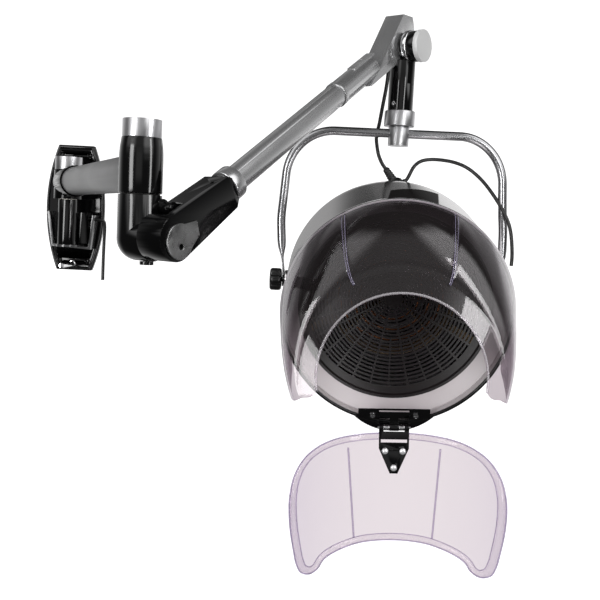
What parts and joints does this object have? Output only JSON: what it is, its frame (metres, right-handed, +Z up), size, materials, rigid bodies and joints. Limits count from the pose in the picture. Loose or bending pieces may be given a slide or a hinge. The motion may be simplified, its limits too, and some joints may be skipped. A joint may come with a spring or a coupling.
{
  "type": "wall hood hair dryer",
  "caption": "Wall-hung hood hair dryer: swivelling arm, sprung arm, drop tube, yoke, chrome hood with slotted basket, smoked upper visor and clear flip-down lower visor.",
  "frame": {"origin": "centre of the wall plate's back face", "axes": "+Y into the wall, -Y into the room, +Z up, +X to the right seen from the room"},
  "size_m": [0.8334, 0.6224, 0.8649],
  "materials": {
    "black_gloss": "gloss black enamel and moulded plastic",
    "black_matt": "matt black moulded plastic",
    "black_metal": "gloss black enamel on steel or cast metal",
    "bracket_grey": "dark grey enamel",
    "chrome": "bright chrome plate",
    "hood_chrome": "spun aluminium, bright chromium plated; inner wall pale",
    "satin_grey": "light grey satin enamel",
    "satin_silver": "satin silver",
    "steel": "bare steel",
    "bush": "nylon bearing",
    "rubber": "black flexible cord and boot",
    "copper_coil": "resistance wire in a ceramic-grey sheath",
    "mica": "mica board",
    "smoke_clear": "smoked clear acrylic",
    "clear": "clear acrylic with a faint violet tint"
  },
  "bodies": {
    "wall": {"wall_plate": "black_metal", "pivot_bracket": "bracket_grey", "bracket_box": "black_gloss", "wall_post": "black_metal", "wall_cap": "chrome", "wall_stud": "chrome", "power_cord": "rubber"},
    "first_arm": {"wall_bushes": "bush", "wall_knuckle": "black_metal", "first_tube": "satin_grey", "elbow_sleeve": "black_metal", "elbow_cap": "chrome", "elbow_post": "steel"},
    "elbow": {"elbow_housing": "black_metal", "elbow_bush": "black_matt", "spring_anchor": "black_metal", "tilt_pin": "steel"},
    "friction_knob": {"friction_knob": "black_gloss"},
    "spring_arm": {"arm_housing": "black_metal", "side_cover": "satin_silver", "arm_collar": "satin_silver", "arm_tube": "satin_silver", "end_sleeve": "satin_silver", "head_bracket": "satin_silver", "balance_spring": "steel", "spring_rod": "steel"},
    "drop_head": {"hub_washer": "black_gloss", "hub_ring": "chrome", "drop_knuckle": "black_metal", "hub_cap": "satin_grey", "hub_axle": "steel", "drop_tube": "black_metal", "tube_screw": "chrome", "drop_collar": "chrome", "swivel_bush": "bush", "head_cable": "rubber"},
    "yoke": {"yoke_boss": "chrome", "yoke_tube": "chrome", "lamp_cable": "rubber"},
    "knob_left": {"knob_left": "black_gloss"},
    "knob_right": {"knob_right": "black_gloss"},
    "hood": {"outer_shell": "hood_chrome", "rim_trim": "black_gloss", "inner_basket": "black_matt", "upper_visor": "smoke_clear", "hinge_plate": "black_metal", "hinge_screws": "chrome", "hinge_apron": "black_gloss", "hinge_pin": "steel", "hinge_springs": "chrome", "motor_plate": "steel", "motor": "steel", "heater_frame": "mica", "heater_coil": "copper_coil", "cable_boot": "rubber", "hood_cable": "rubber"},
    "fan": {"fan": "black_matt"},
    "visor": {"hinge_tongue": "black_metal", "hinge_rivets": "chrome", "lower_visor": "clear"}
  },
  "joints": [
    {"name": "base_swivel", "type": "hinge", "parent": "wall", "child": "first_arm", "pos_m": [0, -0.062, 0.041], "axis": [0, 0, 1], "range_deg": [-105, 60]},
    {"name": "elbow_swing", "type": "hinge", "parent": "first_arm", "child": "elbow", "pos_m": [0.22601, -0.55793, 0.004], "axis": [0, 0, 1], "range_deg": [-170, 35]},
    {"name": "arm_lift", "type": "hinge", "parent": "elbow", "child": "spring_arm", "pos_m": [0.26459, -0.58648, -0.035], "axis": [0.8039, -0.5948, 0], "range_deg": [-55, 8], "stiffness_Nm_per_rad": 60, "springref_deg": 49.39},
    {"name": "head_level", "type": "hinge", "parent": "spring_arm", "child": "drop_head", "pos_m": [0.56593, -0.17925, 0.2865], "axis": [0.8039, -0.5948, 0], "range_deg": [-8, 55]},
    {"name": "hood_swivel", "type": "hinge", "parent": "drop_head", "child": "yoke", "pos_m": [0.57799, -0.18817, 0.1963], "axis": [0, 0, 1], "range_deg": [-100, 30]},
    {"name": "hood_tilt", "type": "hinge", "parent": "yoke", "child": "hood", "pos_m": [0.57799, -0.18817, -0.1027], "axis": [0.9997, -0.0244, 0], "range_deg": [-15, 30]},
    {"name": "knob_left_turn", "type": "hinge", "parent": "yoke", "child": "knob_left", "pos_m": [0.38804, -0.18353, -0.1027], "axis": [-0.9997, 0.0244, 0], "range_deg": [-180, 180]},
    {"name": "knob_right_turn", "type": "hinge", "parent": "yoke", "child": "knob_right", "pos_m": [0.76793, -0.19281, -0.1027], "axis": [0.9997, -0.0244, 0], "range_deg": [-180, 180]},
    {"name": "friction_turn", "type": "hinge", "parent": "elbow", "child": "friction_knob", "pos_m": [0.23807, -0.56685, -0.064], "axis": [0, 0, -1], "range_deg": [-180, 180]},
    {"name": "fan_spin", "type": "hinge", "parent": "hood", "child": "fan", "pos_m": [0.57883, -0.15382, -0.09603], "axis": [-0.024, -0.9813, -0.1908], "continuous": true},
    {"name": "visor_flip", "type": "hinge", "parent": "hood", "child": "visor", "pos_m": [0.58226, -0.33108, -0.31161], "axis": [0.9985, -0.0327, 0.0428], "range_deg": [-78, 20]}
  ],
  "couplings": [
    {"joint": "head_level", "follows": "arm_lift", "ratio": -1}
  ]
}
